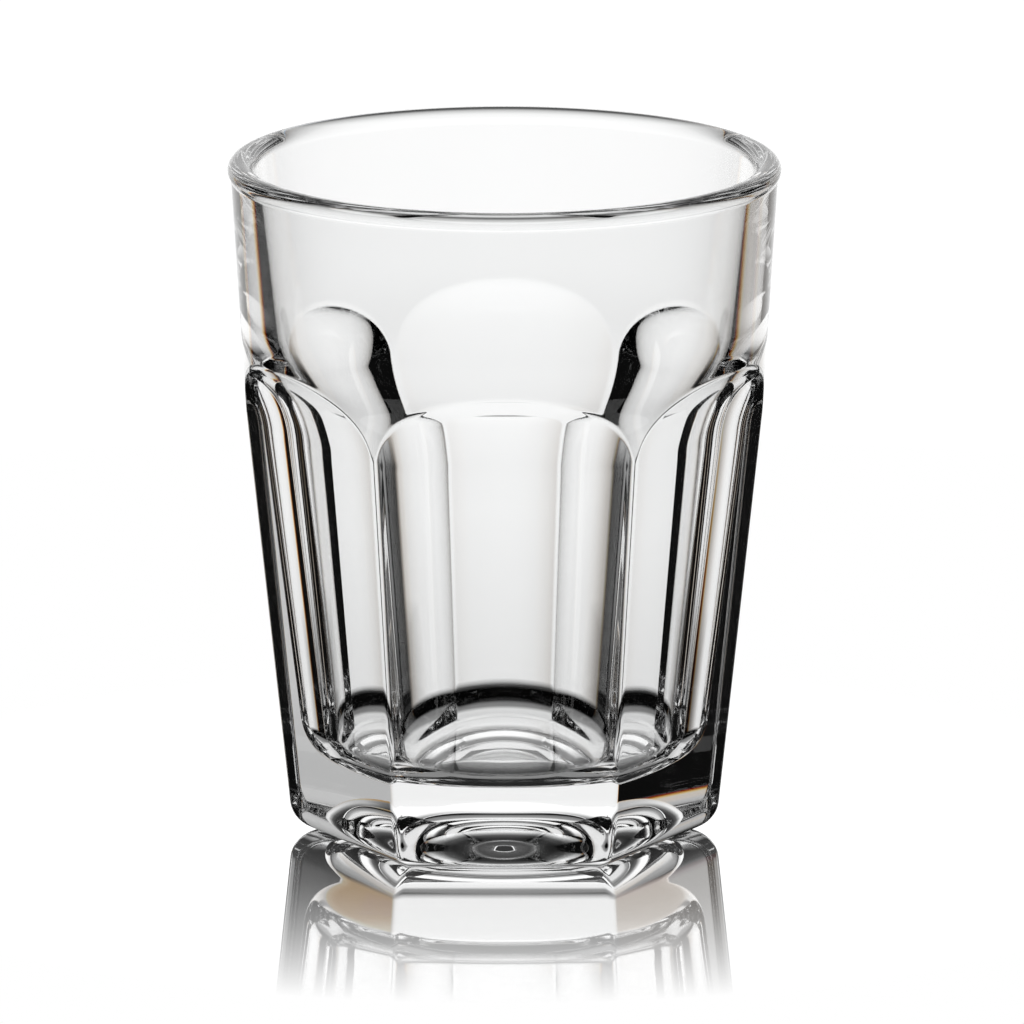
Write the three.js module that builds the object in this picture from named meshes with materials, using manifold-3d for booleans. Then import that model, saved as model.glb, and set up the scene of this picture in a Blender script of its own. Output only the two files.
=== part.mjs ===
// Clear acrylic shot glass: a tapered tumbler with a rounded lip, a plain round drinking
// band, flat panels that end in scooped arches, and a thick base hollowed underneath.
// The moulding is held as separate solids that meet face to face on its own features.
// Millimetres, +Z up. The origin is the middle of the foot, on the table.

import * as THREE from 'three';
import { mergeVertices } from 'three/addons/utils/BufferGeometryUtils.js';
import Module from 'manifold-3d';

// Lip and band
const height = 60;
const rimDiameter = 48.2; // over the lip's widest point
const lipThickness = 2.45;
const lipBead = 0.9; // radius of the lip's outer round
const lipInside = 1.3; // how far its inner round runs down
const lipStep = 0.28; // how far the lip stands proud of the band under it
const bandTaper = 3.55; // degrees from upright

// Panels
const footAcrossFlats = 32.3; // between opposite panels, carried down to the table
const panelLean = 5.3; // degrees from upright
const scoopStart = 37; // height at which a panel starts to curve out to the band
const scoopRadius = 9.5;
const footRound = 2.7; // radius of the foot's lower edge

// Cavity
const bandWall = 2.85; // wall at the top of the inner shoulder
const shoulderTop = 46; // height
const shoulderFoot = 36; // height
const panelWall = 1.5; // wall behind a panel's middle at the foot of the shoulder
const floorWall = 2.5; // wall behind a panel's middle at the cavity floor
const baseThickness = 7.1;
const floorRound = 3.1; // fillet between the cavity's wall and its floor

// Underside
const recessDiameter = 26.6;
const recessDepth = 3.9;
const recessSquareness = 3.3; // 2 is a plain dome; more gives a flatter top and a steeper edge

// Where the moulding is divided, and how finely round forms are cut
const archClearance = 0.5; // plain band left on a panel solid above its arch
const panelNames = [
  'panel_front',
  'panel_front_right',
  'panel_back_right',
  'panel_back',
  'panel_back_left',
  'panel_front_left',
];
const segmentsPerPanel = 12;
const arcSteps = 4; // pairs of chords on each drawn arc
const recessSteps = 14; // chords from the recess's middle to its edge
const cutterReach = 10; // how far a panel cutter runs past the blank

const frontAzimuth = -Math.PI / 2;
const panelAngle = (2 * Math.PI) / panelNames.length;
const aroundSegments = segmentsPerPanel * panelNames.length;
const rad = THREE.MathUtils.degToRad;

// Outer form: radius of the band and apothem of the panels at a height
const rimRadius = rimDiameter / 2;
const lipCentre = new THREE.Vector2(rimRadius - lipBead, height - lipBead);
const lipFootAngle = -Math.acos((lipBead - lipStep) / lipBead);
const lipFoot = lipCentre.y + lipBead * Math.sin(lipFootAngle);
const bandRadius = (z) => rimRadius - lipStep - (lipFoot - z) * Math.tan(rad(bandTaper));
const panelApothem = (z) => footAcrossFlats / 2 + z * Math.tan(rad(panelLean));

// The scoop is an arc, tangent to the panel, whose centre lies outside the glass
const lean = rad(panelLean);
const scoopCentre = new THREE.Vector2(
  panelApothem(scoopStart) + scoopRadius * Math.cos(lean),
  scoopStart - scoopRadius * Math.sin(lean),
);
const bandAngle = rad(bandTaper);
const scoopInset = (scoopCentre.x - bandRadius(scoopCentre.y)) * Math.cos(bandAngle);
const scoopEnd = Math.acos(scoopInset / scoopRadius) + bandAngle; // steepness at the arch's top
const archTop = scoopCentre.y + scoopRadius * Math.sin(scoopEnd);
const bandFoot = archTop + archClearance;

// Cavity: a cone behind the band, a curved shoulder and a narrower cone behind the panels
const mouth = new THREE.Vector2(rimRadius - lipThickness, height - lipInside);
const shoulderTopRadius = bandRadius(shoulderTop) - bandWall;
const shoulderFootRadius = panelApothem(shoulderFoot) - panelWall;
const floorRadius = panelApothem(baseThickness) - floorWall;
const upperSlope = (mouth.x - shoulderTopRadius) / (mouth.y - shoulderTop);
const lowerSlope = (shoulderFootRadius - floorRadius) / (shoulderFoot - baseThickness);
const upperRadius = (z) => shoulderTopRadius + (z - shoulderTop) * upperSlope;
const lowerRadius = (z) => floorRadius + (z - baseThickness) * lowerSlope;
const baseTop = baseThickness + floorRound;

const wasm = await Module();
wasm.setup();

function clearAcrylic() {
  return new THREE.MeshStandardMaterial({ color: 0xf3f6f6, roughness: 0.04, metalness: 0 });
}

function arc(centre, width, rise, from, to) {
  const clockwise = to < from;
  const curve = new THREE.EllipseCurve(centre.x, centre.y, width, rise, from, to, clockwise);
  return curve.getPoints(2 * arcSteps);
}

function turned(profile) {
  const geometry = new THREE.LatheGeometry(profile, aroundSegments);
  return geometry.rotateX(Math.PI / 2);
}

function solid(geometry) {
  geometry.deleteAttribute('normal');
  geometry.deleteAttribute('uv');
  const merged = mergeVertices(geometry);
  const corners = merged.index.array;
  const triVerts = [];
  for (let i = 0; i < corners.length; i += 3) {
    const [a, b, c] = corners.slice(i, i + 3);
    if (a !== b && b !== c && c !== a) triVerts.push(a, b, c);
  }
  const mesh = new wasm.Mesh({
    numProp: 3,
    vertProperties: new Float32Array(merged.attributes.position.array),
    triVerts: new Uint32Array(triVerts),
  });
  return new wasm.Manifold(mesh);
}

function geometryOf(body) {
  const mesh = body.getMesh();
  const geometry = new THREE.BufferGeometry();
  geometry.setAttribute('position', new THREE.BufferAttribute(mesh.vertProperties, 3));
  geometry.setIndex(new THREE.BufferAttribute(mesh.triVerts, 1));
  geometry.computeVertexNormals();
  return geometry;
}

// What a panel takes off the round blank: rounded foot, leaning flat, scoop, then clear outside
function panelCutter(azimuth) {
  const outside = bandRadius(height) + cutterReach;
  const roundCentre = panelApothem(footRound) - footRound / Math.cos(lean);
  const shape = new THREE.Shape();
  shape.moveTo(roundCentre, -cutterReach);
  shape.lineTo(roundCentre, 0);
  shape.absarc(roundCentre, footRound, footRound, -Math.PI / 2, -lean, false);
  shape.absarc(scoopCentre.x, scoopCentre.y, scoopRadius, Math.PI - lean, Math.PI - scoopEnd, true);
  const rise = (outside - bandRadius(archTop)) / Math.tan(scoopEnd);
  shape.lineTo(outside, archTop + rise);
  shape.lineTo(outside, -cutterReach);
  const width = 2 * outside;
  const geometry = new THREE.ExtrudeGeometry(shape, {
    depth: width,
    steps: 1,
    bevelEnabled: false,
    curveSegments: arcSteps,
  });
  geometry.rotateX(Math.PI / 2);
  geometry.translate(0, width / 2, 0);
  geometry.rotateZ(azimuth);
  return solid(geometry);
}

function panelled(blank) {
  let body = blank;
  for (let i = 0; i < panelNames.length; i += 1) {
    body = body.subtract(panelCutter(frontAzimuth + i * panelAngle));
  }
  return body;
}

function rimBead() {
  const top = new THREE.Vector2(lipCentre.x, mouth.y);
  const inside = arc(top, lipCentre.x - mouth.x, lipInside, Math.PI / 2, Math.PI);
  const profile = [
    new THREE.Vector2(upperRadius(lipFoot), lipFoot),
    ...arc(lipCentre, lipBead, lipBead, lipFootAngle, Math.PI / 2),
    ...inside.slice(1),
    new THREE.Vector2(upperRadius(lipFoot), lipFoot),
  ];
  return turned(profile);
}

function drinkingBand() {
  const inside = cavityWall(bandFoot, lipFoot);
  const profile = [
    inside[0],
    new THREE.Vector2(bandRadius(bandFoot), bandFoot),
    new THREE.Vector2(bandRadius(lipFoot), lipFoot),
    ...inside.reverse(),
  ];
  return turned(profile);
}

// Points up the cavity's wall between two heights
function cavityWall(low, high) {
  const ease = (shoulderTop - shoulderFoot) / 2;
  const middle = (shoulderTop + shoulderFoot) / 2;
  const curve = new THREE.CubicBezierCurve(
    new THREE.Vector2(shoulderFootRadius, shoulderFoot),
    new THREE.Vector2(lowerRadius(shoulderFoot + ease), middle),
    new THREE.Vector2(upperRadius(shoulderTop - ease), middle),
    new THREE.Vector2(shoulderTopRadius, shoulderTop),
  );
  const shoulder = curve.getPoints(4 * arcSteps);
  const radiusAt = (z) => {
    if (z <= shoulderFoot) return lowerRadius(z);
    if (z >= shoulderTop) return upperRadius(z);
    const above = shoulder.findIndex((point) => point.y > z);
    const [a, b] = [shoulder[above - 1], shoulder[above]];
    return a.x + ((b.x - a.x) * (z - a.y)) / (b.y - a.y);
  };
  const between = shoulder.filter((point) => point.y > low && point.y < high);
  return [
    new THREE.Vector2(radiusAt(low), low),
    ...between,
    new THREE.Vector2(radiusAt(high), high),
  ];
}

// One sector of the lower wall, ridge to ridge, facing +X
function panelSector() {
  const inside = cavityWall(baseTop, bandFoot);
  const profile = [
    inside[0],
    new THREE.Vector2(bandRadius(baseTop), baseTop),
    new THREE.Vector2(bandRadius(bandFoot), bandFoot),
    ...inside.reverse(),
  ];
  const reach = (bandRadius(height) + cutterReach) / Math.cos(panelAngle / 2);
  const wedge = new THREE.Shape([
    new THREE.Vector2(0, 0),
    new THREE.Vector2(reach * Math.cos(panelAngle / 2), -reach * Math.sin(panelAngle / 2)),
    new THREE.Vector2(reach * Math.cos(panelAngle / 2), reach * Math.sin(panelAngle / 2)),
  ]);
  const sector = new THREE.ExtrudeGeometry(wedge, { depth: height, steps: 1, bevelEnabled: false });
  return geometryOf(solid(turned(profile)).subtract(panelCutter(0)).intersect(solid(sector)));
}

function baseBlock() {
  const recess = [];
  for (let i = 0; i <= recessSteps; i += 1) {
    const share = Math.sin((i / recessSteps) * (Math.PI / 2));
    const fall = recessDepth * share ** recessSquareness;
    recess.push(new THREE.Vector2((share * recessDiameter) / 2, recessDepth - fall));
  }
  const wallAngle = Math.atan(lowerSlope);
  const filletCentre = new THREE.Vector2(
    lowerRadius(baseTop) - floorRound / Math.cos(wallAngle),
    baseTop,
  );
  const profile = [
    ...recess,
    new THREE.Vector2(bandRadius(0), 0),
    new THREE.Vector2(bandRadius(baseTop), baseTop),
    new THREE.Vector2(lowerRadius(baseTop), baseTop),
    ...arc(filletCentre, floorRound, floorRound, -wallAngle, -Math.PI / 2),
    new THREE.Vector2(0, baseThickness),
  ];
  return geometryOf(panelled(solid(turned(profile))));
}

const glass = new THREE.Group();

function add(name, geometry, turn = 0) {
  const mesh = new THREE.Mesh(geometry, clearAcrylic());
  mesh.name = name;
  mesh.rotation.z = turn;
  glass.add(mesh);
}

add('rim_bead', rimBead());
add('drinking_band', drinkingBand());
const sector = panelSector();
panelNames.forEach((name, i) => add(name, sector, frontAzimuth + i * panelAngle));
add('base_block', baseBlock());

export default glass;
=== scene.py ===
import math

import bpy
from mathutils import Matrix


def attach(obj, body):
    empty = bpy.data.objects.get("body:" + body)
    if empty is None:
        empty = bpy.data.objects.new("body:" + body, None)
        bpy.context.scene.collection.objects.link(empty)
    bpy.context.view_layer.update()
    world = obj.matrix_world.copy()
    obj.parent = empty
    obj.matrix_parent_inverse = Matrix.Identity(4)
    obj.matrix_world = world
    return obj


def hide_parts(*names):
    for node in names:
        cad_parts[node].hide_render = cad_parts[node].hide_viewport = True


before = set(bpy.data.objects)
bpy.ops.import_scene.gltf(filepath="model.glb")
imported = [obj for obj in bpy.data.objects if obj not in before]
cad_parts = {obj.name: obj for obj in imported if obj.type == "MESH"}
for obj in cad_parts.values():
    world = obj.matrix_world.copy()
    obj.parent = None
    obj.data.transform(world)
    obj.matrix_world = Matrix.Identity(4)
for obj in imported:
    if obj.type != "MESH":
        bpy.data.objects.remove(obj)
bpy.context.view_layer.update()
print("frame loaded:", sorted(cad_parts))


class Wire:  # one socket; sums and products of wires add Math nodes
    def __init__(self, tree, socket=None):
        self.tree = tree
        self.socket = socket

    def make(self, kind, settings, values, out=0):
        node = self.tree.nodes.new(kind)
        for name, value in settings.items():
            if name == "stops":  # a ramp's (place, grey) pairs
                ramp = node.color_ramp
                for place, grey in value[1:-1]:
                    ramp.elements.new(place)
                for stop, (place, grey) in zip(ramp.elements, value):
                    stop.position = place
                    stop.color = (grey, grey, grey, 1)
            else:
                setattr(node, name, value)
        for key, value in values.items():
            if isinstance(value, Wire):
                self.tree.links.new(value.socket, node.inputs[key])
            else:
                node.inputs[key].default_value = value
        return Wire(self.tree, node.outputs[out] if node.outputs else None)

    def math(self, operation, *others, clamp=False):
        inputs = dict(enumerate((self,) + others))
        return self.make("ShaderNodeMath", {"operation": operation, "use_clamp": clamp}, inputs)

    def turned(self, operation, other):  # the other value comes first
        return self.make("ShaderNodeMath", {"operation": operation}, {0: other, 1: self})

    def __add__(self, other):
        return self.math("ADD", other)

    def __sub__(self, other):
        return self.math("SUBTRACT", other)

    def __mul__(self, other):
        return self.math("MULTIPLY", other)

    def __truediv__(self, other):
        return self.math("DIVIDE", other)

    def __rsub__(self, other):
        return self.turned("SUBTRACT", other)

    def __rtruediv__(self, other):
        return self.turned("DIVIDE", other)

    __radd__ = __add__
    __rmul__ = __mul__

    def sin(self):
        return self.math("SINE")

    def cos(self):
        return self.math("COSINE")

    def tan(self):
        return self.math("TANGENT")

    def acos(self):
        return self.math("ARCCOSINE")

    def atan(self):
        return self.math("ARCTANGENT")

    def sqrt(self):
        return self.most(0).math("SQRT")

    def under(self, limit):
        return self.math("LESS_THAN", limit)

    def over(self, limit):
        return self.math("GREATER_THAN", limit)

    def exactly(self, count):
        return self.math("COMPARE", count, 0.1)

    def most(self, other):
        return self.math("MAXIMUM", other)

    def pick(self, limit, below, above):  # below where self < limit, else above
        return above + (below - above) * self.under(limit)

    def between(self, start, end):  # climbs from 0 at start to 1 at end
        return ((self - start) / (end - start)).math("ADD", 0, clamp=True)

    def past(self, edge, soft):  # climbs from 0 to 1 across an edge
        return self.between(edge - soft / 2, edge + soft / 2)

    def part(self, axis):
        return self.make("ShaderNodeSeparateXYZ", {}, {0: self}, axis)

    def ray(self, fact):
        return self.make("ShaderNodeLightPath", {}, {}, fact)


def emptyTree(owner):  # of a material or a world
    owner.use_nodes = True
    owner.node_tree.nodes.clear()
    return Wire(owner.node_tree)


# the moulding: one closed skin, underside to lip to cavity floor

mouldingSizes = {  # metres; slopes are run over rise
    "height": 0.0600,
    "rimRadius": 0.0241,
    "lipThickness": 0.00245,
    "lipBead": 0.0009,  # radius of the lip's outer round
    "lipInside": 0.0013,  # depth of its inner round
    "lipStep": 0.00028,
    "bandSlope": 0.0620,
    "panels": 6,
    "footApothem": 0.01615,
    "panelSlope": 0.0928,
    "scoopStart": 0.0370,
    "scoopRadius": 0.0095,
    "footRound": 0.0027,
    "ridgeRound": 0.0008,
    "archRound": 0.0004,
    "shoulderTop": 0.0460,
    "shoulderTopRadius": 0.0202,
    "shoulderFoot": 0.0360,
    "shoulderFootRadius": 0.0180,
    "floorRadius": 0.0143,
    "baseThickness": 0.0071,
    "floorRound": 0.0031,
    "recessRadius": 0.0133,
    "recessDepth": 0.0039,
    "recessSquareness": 3.3,  # how flat its top is and how steep its edge
}
mouldingRows = {  # mesh rows along each stretch of the skin
    "recess": 24,
    "footFlat": 5,
    "footTurn": 10,
    "flat": 14,
    "scoop": 22,
    "archEdge": 8,
    "band": 14,
    "lipOut": 16,
    "lipIn": 12,
    "inside": 12,
    "shoulder": 20,
    "cone": 20,
    "floorTurn": 14,
    "floor": 8,
}
mouldingColumns = 64  # mesh columns on each panel, closest at the ridges
mouldingMerge = 1e-7  # points closer than this are joined
frontAzimuth = -math.pi / 2


def mouldingTree(material):
    tree = bpy.data.node_groups.new("mouldingRule", "GeometryNodeTree")
    keys = {}
    for name, value in mouldingSizes.items():
        kind = "NodeSocketInt" if isinstance(value, int) else "NodeSocketFloat"
        keys[name] = tree.interface.new_socket(name=name, in_out="INPUT", socket_type=kind).identifier
    tree.interface.new_socket(name="Geometry", in_out="OUTPUT", socket_type="NodeSocketGeometry")
    entry = tree.nodes.new("NodeGroupInput")
    s = {name: Wire(tree, entry.outputs[name]) for name in mouldingSizes}
    nodes = Wire(tree)

    # a flat grid, one unit for each row and column
    rowCount = sum(mouldingRows.values())
    columnCount = s["panels"] * mouldingColumns
    grid = nodes.make("GeometryNodeMeshGrid", {}, {
        "Size X": columnCount, "Size Y": float(rowCount),
        "Vertices X": columnCount + 1, "Vertices Y": rowCount + 1})
    spot = nodes.make("GeometryNodeInputPosition", {}, {})
    column = (spot.part("X") + columnCount / 2).math("ROUND")
    row = (spot.part("Y") + rowCount / 2).math("ROUND")

    shares = {}
    start = 0
    for name, count in mouldingRows.items():
        shares[name] = row.between(start, start + count)
        start += count

    def eased(name):  # rows crowd towards both ends of a straight stretch
        return 0.5 - (shares[name] * math.pi).cos() * 0.5

    # azimuth, and the outline of a panel: flat, rounded at the ridge
    half = math.pi / s["panels"]
    panel = (column / mouldingColumns).math("FLOOR")
    lane = column / mouldingColumns - panel
    local = half * ((lane * 2 - 1) * (math.pi / 2)).sin()
    azimuth = frontAzimuth + panel * half * 2 + local
    bend = s["ridgeRound"] / s["footApothem"]
    fromRidge = half - local.math("ABSOLUTE")
    hub = (1 - bend) / half.cos()
    bendEdge = half - ((1 - bend) * half.tan()).atan()
    rounded = hub * fromRidge.cos() + (bend * bend - (hub * fromRidge.sin()).math("POWER", 2)).sqrt()
    outline = fromRidge.pick(bendEdge, rounded, 1 / local.cos())

    # lip and band
    lipZ = s["height"] - s["lipBead"]
    lipStart = 0 - ((s["lipBead"] - s["lipStep"]) / s["lipBead"]).acos()
    lipFoot = lipZ + s["lipBead"] * lipStart.sin()

    def band(z):
        return s["rimRadius"] - s["lipStep"] - (lipFoot - z) * s["bandSlope"]

    # panel: flat, then a scoop whose centre is outside the glass
    lean = s["panelSlope"].atan()

    def flat(z):
        return s["footApothem"] + z * s["panelSlope"]

    scoopR = flat(s["scoopStart"]) + s["scoopRadius"] * lean.cos()
    scoopZ = s["scoopStart"] - s["scoopRadius"] * lean.sin()

    def pressed(z):
        reach = (s["scoopRadius"].math("POWER", 2) - (z - scoopZ).math("POWER", 2)).sqrt()
        return z.pick(s["scoopStart"], flat(z), scoopR - reach)

    bandLean = (s["bandSlope"] / outline).atan()
    inset = (scoopR - band(scoopZ) / outline) * bandLean.cos() / s["scoopRadius"]
    steep = inset.math("MINIMUM", 1).acos() + bandLean
    archZ = scoopZ + s["scoopRadius"] * steep.sin()
    lowZ = archZ - s["archRound"] * steep.cos()
    highZ = archZ + s["archRound"]
    flatTop = s["scoopStart"] - s["archRound"] * 2

    # foot
    footR = flat(s["footRound"]) - s["footRound"] / lean.cos()
    footTop = s["footRound"] * (1 - lean.sin())

    # cavity
    mouthR = s["rimRadius"] - s["lipThickness"]
    mouthZ = s["height"] - s["lipInside"]
    upperSlope = (mouthR - s["shoulderTopRadius"]) / (mouthZ - s["shoulderTop"])
    lowerSlope = (s["shoulderFootRadius"] - s["floorRadius"]) / (s["shoulderFoot"] - s["baseThickness"])
    wallLean = lowerSlope.atan()
    filletZ = s["baseThickness"] + s["floorRound"]
    filletR = s["floorRadius"] + s["floorRound"] * lowerSlope - s["floorRound"] / wallLean.cos()
    coneFoot = filletZ - s["floorRound"] * wallLean.sin()

    f = (shares["recess"] * (math.pi / 2)).sin()
    r = f * s["recessRadius"]
    z = s["recessDepth"] * (1 - f.math("POWER", s["recessSquareness"]))

    r += eased("footFlat") * (footR * outline - s["recessRadius"])

    footTurn = shares["footTurn"] * (math.pi / 2 - lean) - math.pi / 2
    r += outline * s["footRound"] * footTurn.cos()
    z += s["footRound"] * (footTurn.sin() + 1)

    rise = footTop + eased("flat") * (flatTop - footTop) + shares["scoop"] * (lowZ - flatTop)
    r += outline * (pressed(rise) - pressed(footTop))
    z += rise - footTop

    f = shares["archEdge"]
    lowR = outline * pressed(lowZ)
    r += (1 - f) * f * 2 * (band(archZ) - lowR) + f * f * (band(highZ) - lowR)
    z += (1 - f) * f * 2 * (archZ - lowZ) + f * f * (highZ - lowZ)

    bandRise = eased("band") * (lipFoot - highZ)
    r += bandRise * s["bandSlope"]
    z += bandRise

    lipTurn = lipStart + shares["lipOut"] * (math.pi / 2 - lipStart)
    r += s["lipBead"] * (lipTurn.cos() - lipStart.cos())
    z += s["lipBead"] * (lipTurn.sin() - lipStart.sin())

    lipTurn = shares["lipIn"] * (math.pi / 2)
    r -= (s["lipThickness"] - s["lipBead"]) * lipTurn.sin()
    z -= s["lipInside"] * (1 - lipTurn.cos())

    drop = eased("inside") * (mouthZ - s["shoulderTop"])
    r -= drop * upperSlope
    z -= drop

    f = shares["shoulder"]
    depth = s["shoulderTop"] - s["shoulderFoot"]
    step = s["shoulderTopRadius"] - s["shoulderFootRadius"]
    r -= (1 - f) * (1 - f) * f * 3 * upperSlope * depth / 2
    r -= (1 - f) * f * f * 3 * (step - lowerSlope * depth / 2) + f * f * f * step
    z -= ((1 - f) * f * 1.5 + f * f * f) * depth

    drop = eased("cone") * (s["shoulderFoot"] - coneFoot)
    r -= drop * lowerSlope
    z -= drop

    floorTurn = (0 - wallLean) - shares["floorTurn"] * (math.pi / 2 - wallLean)
    r += s["floorRound"] * (floorTurn.cos() - wallLean.cos())
    z += s["floorRound"] * (floorTurn.sin() + wallLean.sin())

    r -= shares["floor"] * filletR

    place = nodes.make("ShaderNodeCombineXYZ", {}, {"X": r * azimuth.cos(), "Y": r * azimuth.sin(), "Z": z})
    skin = nodes.make("GeometryNodeSetPosition", {}, {"Geometry": grid, "Position": place})
    skin = nodes.make("GeometryNodeMergeByDistance", {}, {"Geometry": skin, "Distance": mouldingMerge})
    skin = nodes.make("GeometryNodeSetShadeSmooth", {}, {"Geometry": skin})
    skin = nodes.make("GeometryNodeRealizeInstances", {}, {"Geometry": skin})
    skin = nodes.make("GeometryNodeSetMaterial", {}, {"Geometry": skin, "Material": material})
    nodes.make("NodeGroupOutput", {}, {"Geometry": skin})
    return tree, keys


def makeMoulding(material):
    tree, keys = mouldingTree(material)
    maker = bpy.data.objects.new("mouldingMaker", bpy.data.meshes.new("mouldingMaker"))
    bpy.context.collection.objects.link(maker)
    modifier = maker.modifiers.new("rule", "NODES")
    modifier.node_group = tree
    for name, value in mouldingSizes.items():
        modifier[keys[name]] = value
    graph = bpy.context.evaluated_depsgraph_get()
    mesh = bpy.data.meshes.new_from_object(maker.evaluated_get(graph), depsgraph=graph)
    bpy.data.objects.remove(maker)
    mesh.name = "moulding"
    piece = bpy.data.objects.new("moulding", mesh)
    bpy.context.collection.objects.link(piece)
    return piece


acrylic = {
    "clearest": (0.997, 0.998, 0.998, 1),
    "faintest": (0.989, 0.994, 0.993, 1),  # where the melt is a shade cooler
    "ior": 1.49,
    "flowScale": 150.0,  # ripples to the metre, left by the mould
    "flowDetail": 1.0,
    "flowDraw": (1.0, 1.0, 0.35),  # they are drawn out upwards
    "flowDepth": 0.00002,
    "flowStrength": 0.4,
}


def clearAcrylic():
    material = bpy.data.materials.new("clearAcrylic")
    nodes = emptyTree(material)
    spot = nodes.make("ShaderNodeTexCoord", {}, {}, "Object")
    drawn = nodes.make("ShaderNodeVectorMath", {"operation": "MULTIPLY"}, {0: spot, 1: acrylic["flowDraw"]})
    flow = nodes.make("ShaderNodeTexNoise", {}, {
        "Vector": drawn, "Scale": acrylic["flowScale"], "Detail": acrylic["flowDetail"]})
    ripple = nodes.make("ShaderNodeBump", {}, {
        "Strength": acrylic["flowStrength"], "Distance": acrylic["flowDepth"], "Height": flow}, "Normal")
    tint = nodes.make("ShaderNodeMix", {"data_type": "RGBA"}, {
        0: flow, 6: acrylic["clearest"], 7: acrylic["faintest"]}, 2)
    shader = nodes.make("ShaderNodeBsdfPrincipled", {}, {
        "Base Color": tint, "Normal": ripple,
        "Roughness": 0.0, "IOR": acrylic["ior"], "Transmission Weight": 1.0})
    nodes.make("ShaderNodeOutputMaterial", {}, {"Surface": shader})
    return material


moulding = makeMoulding(clearAcrylic())
print("moulding:", len(moulding.data.vertices), "points", len(moulding.data.polygons), "faces")
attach(moulding, "root")
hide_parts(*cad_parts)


# the stage

rayDepth = {"offTable": 2, "oneWall": 3, "twoWalls": 5}  # Ray Depth at the backdrop after each of these


def standOnStage(name, corners, faces, material):
    mesh = bpy.data.meshes.new(name)
    mesh.from_pydata(corners, [], faces)
    mesh.materials.append(material)
    piece = bpy.data.objects.new(name, mesh)
    bpy.context.collection.objects.link(piece)


# table top: white to the camera, with the glass's reflection and soft shadow in it; through the glass it
# shows painted shade and light, and in the glass's reflections it is painted almost black

tableSizes = {
    "radius": 0.16,
    "sides": 72,
    "mirror": (0.006, 0.0624),  # its reflection fades between these distances from the axis
    "gloss": 0.02,  # roughness of that reflection
    "shadow": (0.35, 0.060),  # share of matt white at the foot, and where it ends
    "matt": (0.97, 0.97, 0.97, 1),
    # painted shade and light on the table as the glass shows it, by distance from the axis: dark under the
    # foot, a light ring just outside it, then black
    "tones": [(0.0, 0.06), (0.0135, 0.06), (0.0150, 0.85), (0.0188, 0.85), (0.0200, 0.38),
              (0.0225, 0.25), (0.0245, 0.20), (0.0262, 0.0), (0.0600, 0.0)],
    "toneEnd": (0.036, 0.075),  # the tones give way to the backdrop between these
    "frontTone": (0.3, 0.008),  # share of that painted shade and light left on the viewer's side, and how soft the change is
    "steep": (0.35, 0.25, 0.80),  # painted light: a steep glance shows white: facing from, to, level
    "steepReach": (0.019, 0.052),  # where it does
    "skim": (0.64, 0.72),  # how flat a glance is when it runs on to the backdrop
    "paintedDim": (0.050, 0.110, 0.87),  # painted shade: the table dims the backdrop seen through it, most inside the first distance: from, to, level at the first
    "reflected": (0.02, 0.02, 0.02, 1),  # painted dark reflection: the glass reflects the white table as almost black
}


def whiteTable():
    material = bpy.data.materials.new("whiteTable")
    nodes = emptyTree(material)
    spot = nodes.make("ShaderNodeTexCoord", {}, {}, "Object")
    reach = nodes.make("ShaderNodeVectorMath", {"operation": "LENGTH"}, {0: spot}, "Value")

    # seen directly
    white = nodes.make("ShaderNodeEmission", {}, {"Color": (1, 1, 1, 1), "Strength": 1.0})
    matt = nodes.make("ShaderNodeBsdfDiffuse", {}, {"Color": tableSizes["matt"]})
    share, end = tableSizes["shadow"]
    shadow = (1 - reach.between(0, end)) * share
    shaded = nodes.make("ShaderNodeMixShader", {}, {0: shadow, 1: white, 2: matt})
    mirror = nodes.make("ShaderNodeBsdfGlossy", {}, {"Color": (1, 1, 1, 1), "Roughness": tableSizes["gloss"]})
    far = reach.between(*tableSizes["mirror"])
    seen = nodes.make("ShaderNodeMixShader", {}, {0: 1 - far * far, 1: shaded, 2: mirror})

    # seen through the glass: painted shade and light close to the foot, then on to the backdrop, which the
    # table dims with painted shade close to the glass
    start, end, dim = tableSizes["paintedDim"]
    dimmed = nodes.make("ShaderNodeBsdfTransparent", {}, {"Color": (dim, dim, dim, 1)})
    bare = nodes.make("ShaderNodeBsdfTransparent", {}, {"Color": (1, 1, 1, 1)})
    clear = nodes.make("ShaderNodeMixShader", {}, {0: reach.between(start, end), 1: dimmed, 2: bare})
    start, end = tableSizes["toneEnd"]
    stops = [(place / end, tone) for place, tone in tableSizes["tones"]]
    tone = nodes.make("ShaderNodeValToRGB", {"stops": stops}, {0: reach / end})
    front, soft = tableSizes["frontTone"]
    tone = tone * (front + spot.part("Y").past(0, soft) * (1 - front))
    # painted light: steep glances at the table show white
    facing = nodes.make("ShaderNodeLayerWeight", {}, {"Blend": 0.5}, "Facing")
    glance, fall, level = tableSizes["steep"]
    inside, outside = tableSizes["steepReach"]
    steep = facing.between(glance, fall) * reach.over(inside) * reach.under(outside)
    paintedShadeAndLight = nodes.make("ShaderNodeEmission", {}, {"Color": tone.most(steep * level)})
    gone = (reach.between(start, end) * (1 - steep)).most(facing.between(*tableSizes["skim"]))
    through = nodes.make("ShaderNodeMixShader", {}, {0: gone, 1: paintedShadeAndLight, 2: clear})

    # seen in a reflection: painted almost black
    grey = nodes.make("ShaderNodeBsdfDiffuse", {}, {"Color": tableSizes["reflected"]})
    glass = nodes.make("ShaderNodeMixShader", {}, {0: nodes.ray("Is Transmission Ray"), 1: grey, 2: through})
    both = nodes.make("ShaderNodeMixShader", {}, {0: nodes.ray("Is Camera Ray"), 1: glass, 2: seen})
    nodes.make("ShaderNodeOutputMaterial", {}, {"Surface": both})
    return material


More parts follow.
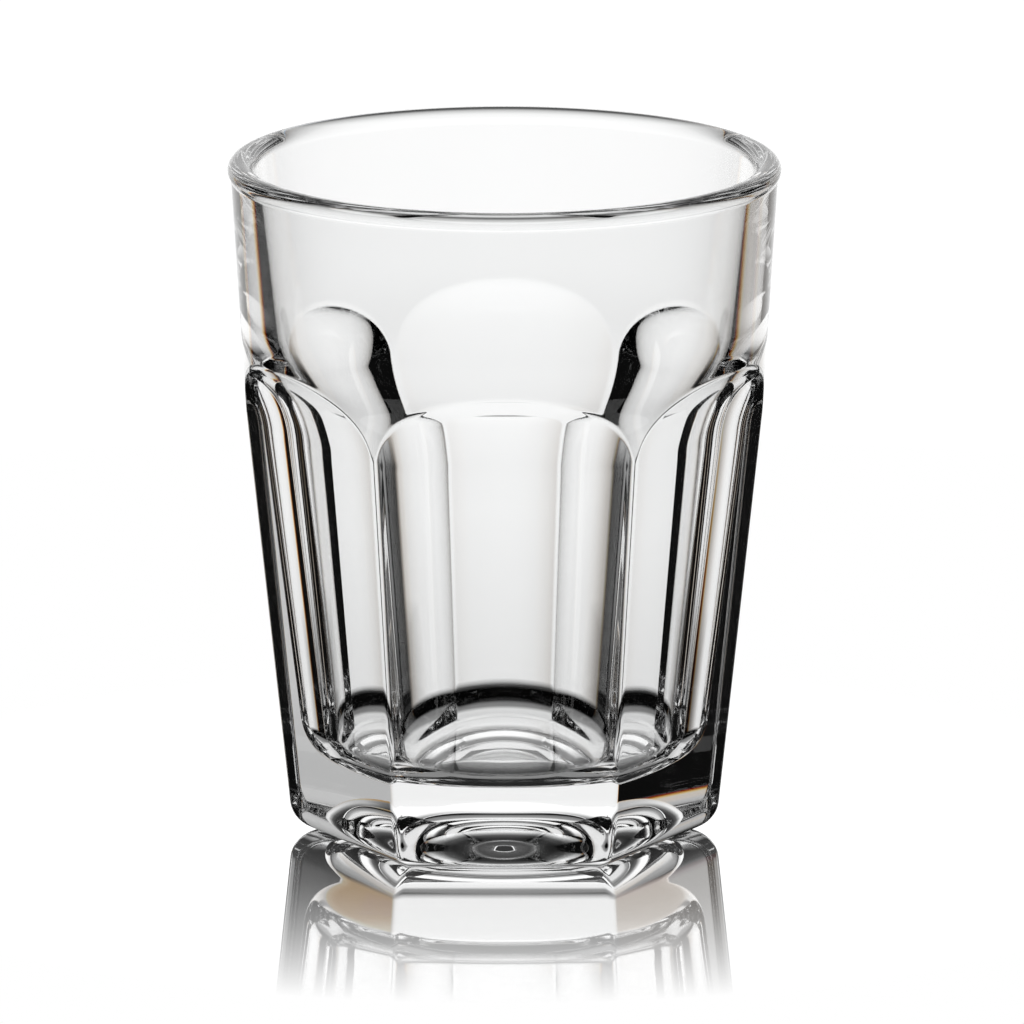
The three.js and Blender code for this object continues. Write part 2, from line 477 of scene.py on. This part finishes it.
def tableTop():
    ring = []
    for side in range(tableSizes["sides"]):
        turn = 2 * math.pi * side / tableSizes["sides"]
        ring.append((tableSizes["radius"] * math.cos(turn), tableSizes["radius"] * math.sin(turn), 0))
    standOnStage("tableTop", ring, [list(range(len(ring)))], whiteTable())


tableTop()
print("table set")


# low dark flags beside the back of the glass, seen only through both its walls

flagSizes = {
    "radius": 0.060,  # from the axis
    "span": (45.5, 50.0, 64.0, 71.0),  # degrees from straight back: fades in, and out again
    "heights": (-0.012, 0.016, 0.029),  # foot, where the fade starts, top
    "steps": 12,
    "dark": 0.02,
}


def blackFlag():
    material = bpy.data.materials.new("blackFlag")
    nodes = emptyTree(material)
    first, solid, fade, last = flagSizes["span"]
    dense, top = flagSizes["heights"][1:]
    spot = nodes.make("ShaderNodeTexCoord", {}, {}, "Object")
    turn = spot.part("X").math("ARCTAN2", spot.part("Y")).math("ABSOLUTE") * (180 / math.pi)
    hold = turn.between(first, solid) * turn.between(last, fade) * spot.part("Z").between(top, dense)
    hold = hold * nodes.ray("Is Transmission Ray") * nodes.ray("Ray Depth").exactly(rayDepth["twoWalls"] - 1)
    clear = nodes.make("ShaderNodeBsdfTransparent", {}, {})
    dark = nodes.make("ShaderNodeEmission", {}, {"Color": (1, 1, 1, 1), "Strength": flagSizes["dark"]})
    both = nodes.make("ShaderNodeMixShader", {}, {0: hold, 1: clear, 2: dark})
    nodes.make("ShaderNodeOutputMaterial", {}, {"Surface": both})
    return material


def sideFlags():
    first, last = flagSizes["span"][0], flagSizes["span"][-1]
    foot, top = flagSizes["heights"][0], flagSizes["heights"][-1]
    corners = []
    faces = []
    for side in (-1, 1):
        for step in range(flagSizes["steps"] + 1):
            turn = math.radians(side * (first + (last - first) * step / flagSizes["steps"]))
            x, y = flagSizes["radius"] * math.sin(turn), flagSizes["radius"] * math.cos(turn)
            corners += [(x, y, foot), (x, y, top)]
            n = len(corners)
            if step:
                faces.append((n - 4, n - 3, n - 1, n - 2))
    standOnStage("sideFlags", corners, faces, blackFlag())


sideFlags()
print("flags set")


# studio light: a white backdrop with dark sides, which only the glass shows

studio = {
    # the backdrop's tone by degrees from straight back, right is positive, and by degrees of height
    "widthTones": [(-45, 0.0), (-41, 0.42), (-34, 0.70), (-28, 0.88), (-18, 0.98), (-8, 1.0), (8, 1.0),
                   (16, 0.95), (22, 0.84), (28, 0.68), (34, 0.50), (37, 0.44), (41, 0.0)],
    "heightTones": [(-90, 0.20), (-60, 0.18), (-50, 0.10), (-44, 0.20), (-38, 0.55), (-30, 0.75), (-22, 0.96),
                    (-15, 1.04), (-8, 1.09), (2, 1.14), (16, 1.18), (20, 1.05), (26, 0.50), (33, 0.12),
                    (42, 0.04), (90, 0.04)],
    "leftFlag": (-30.5, 4.0, 4.5),  # shades the lower left: edge, how soft, from rays with fewer turns
    "horizon": (-1.0, 3.0),  # where that flag ends, how soft
    "rightCard": (30.0, 60.0, 4.0, 0.62),  # a grey card that one wall shows: from, to, how soft, level
    "deepest": 9.5,  # rays with more turns in the glass see no backdrop
    "underglow": (6.5, -32.0, 0.65),  # rays that ran along a wall and leave downwards: turns, degrees, level
    "dim": 0.003,  # everything else
    "overhead": (66.0, 10.0, 0.60),  # a soft lamp above: from, how soft, level
    "windows": [(90, 14), (135, 14), (180, 17)],  # centre and half width, seen straight through the glass
    "windowSoft": 6.0,
    "windowLevel": 0.95,
    "sideWindow": (50, 9, 0.85),  # centre, half width, level through two walls
    "sideWindowLow": (-11.0, 3.0, 0.90),  # through one wall: top, how soft, level
    "fringe": (0.03, 1.0),  # how far red reaches past green, and green past blue: share across, degrees up
    "fringeTop": (8.0, 6.0),  # rays that climb more show no fringe: degrees, how soft
}


def studioLight():
    world = bpy.data.worlds.new("studio")
    nodes = emptyTree(world)
    way = nodes.make("ShaderNodeTexCoord", {}, {}, "Generated")
    azimuth = way.part("X").math("ARCTAN2", way.part("Y")) * (180 / math.pi)
    rise = way.part("Z").math("ARCSINE") * (180 / math.pi)
    depth = nodes.ray("Ray Depth")
    oneWall = depth.exactly(rayDepth["oneWall"])
    twoWalls = depth.exactly(rayDepth["twoWalls"])

    def tones(value, stops):  # a ramp over -90 to 90 degrees
        stops = [((place + 90) / 180, tone) for place, tone in stops]
        return nodes.make("ShaderNodeValToRGB", {"stops": stops}, {0: (value + 90) / 180})

    # white to the camera, to the matt table and in the table's reflection
    offTable = depth.exactly(rayDepth["offTable"])
    fromTable = nodes.ray("Is Glossy Ray") * (1 - nodes.ray("Is Singular Ray")) * offTable
    plain = nodes.ray("Is Camera Ray").most(nodes.ray("Is Diffuse Ray")).most(fromTable).most(studio["dim"])

    # windows round the other sides
    away = azimuth.math("ABSOLUTE")

    def window(centre, half):
        return 1 - (away - centre).math("ABSOLUTE").past(half, studio["windowSoft"])

    centre, half, level = studio["sideWindow"]
    top, soft, lowLevel = studio["sideWindowLow"]
    shown = window(centre, half) * (twoWalls * level + oneWall * (1 - rise.past(top, soft)) * lowLevel)
    for centre, half in studio["windows"]:
        shown = shown.most(window(centre, half) * (oneWall + twoWalls) * studio["windowLevel"])
    plain = plain.most(shown * nodes.ray("Is Transmission Ray"))

    turns, fall, level = studio["underglow"]
    plain = plain.most(depth.over(turns) * rise.under(fall) * level)

    # the backdrop, a little larger in red and smaller in blue
    heightTone = tones(rise, studio["heightTones"]) * depth.under(studio["deepest"])

    def glow(off, up):
        start, end, soft, level = studio["rightCard"]
        card = off.past(start, soft) * (1 - off.past(end, soft)) * oneWall * level
        edge, soft, turns = studio["leftFlag"]
        flag = (1 - off.past(edge, soft)) * (1 - up.past(*studio["horizon"])) * depth.under(turns)
        start, soft, level = studio["overhead"]
        lamp = up.past(start, soft) * level
        paper = tones(off, studio["widthTones"]) * heightTone
        return (paper.most(card) * (1 - flag)).most(lamp).most(plain)

    spread, lift = studio["fringe"]
    split = 1 - rise.past(*studio["fringeTop"])
    red, green, blue = (
        glow(azimuth * (1 + split * (spread * shift)), rise - split * (lift * shift)) for shift in (-1, 0, 1))
    shade = nodes.make("ShaderNodeCombineColor", {}, {"Red": red, "Green": green, "Blue": blue})
    backdrop = nodes.make("ShaderNodeBackground", {}, {"Color": shade, "Strength": 1.0})
    nodes.make("ShaderNodeOutputWorld", {}, {"Surface": backdrop})
    bpy.context.scene.world = world


studioLight()
print("studio lit")


# camera

view = {
    "elevation": 12.7,  # degrees
    "distance": 1.6,
    "aim": (0.00066, 0.0, 0.0285),
    "width": 0.0895,  # of the frame, at the aim
    "sensor": 36.0,  # millimetres
}


def photoCamera():
    data = bpy.data.cameras.new("photoCamera")
    data.sensor_width = view["sensor"]
    data.lens = view["sensor"] * view["distance"] / view["width"]
    camera = bpy.data.objects.new("photoCamera", data)
    tilt = math.radians(view["elevation"])
    x, y, z = view["aim"]
    camera.location = (x, y - view["distance"] * math.cos(tilt), z + view["distance"] * math.sin(tilt))
    camera.rotation_euler = (math.pi / 2 - tilt, 0, 0)
    bpy.context.collection.objects.link(camera)
    bpy.context.scene.camera = camera


photoCamera()
print("camera placed")

scene = bpy.context.scene
scene.view_settings.view_transform = "Standard"
scene.cycles.max_bounces = 24
scene.cycles.glossy_bounces = 16
scene.cycles.transmission_bounces = 24
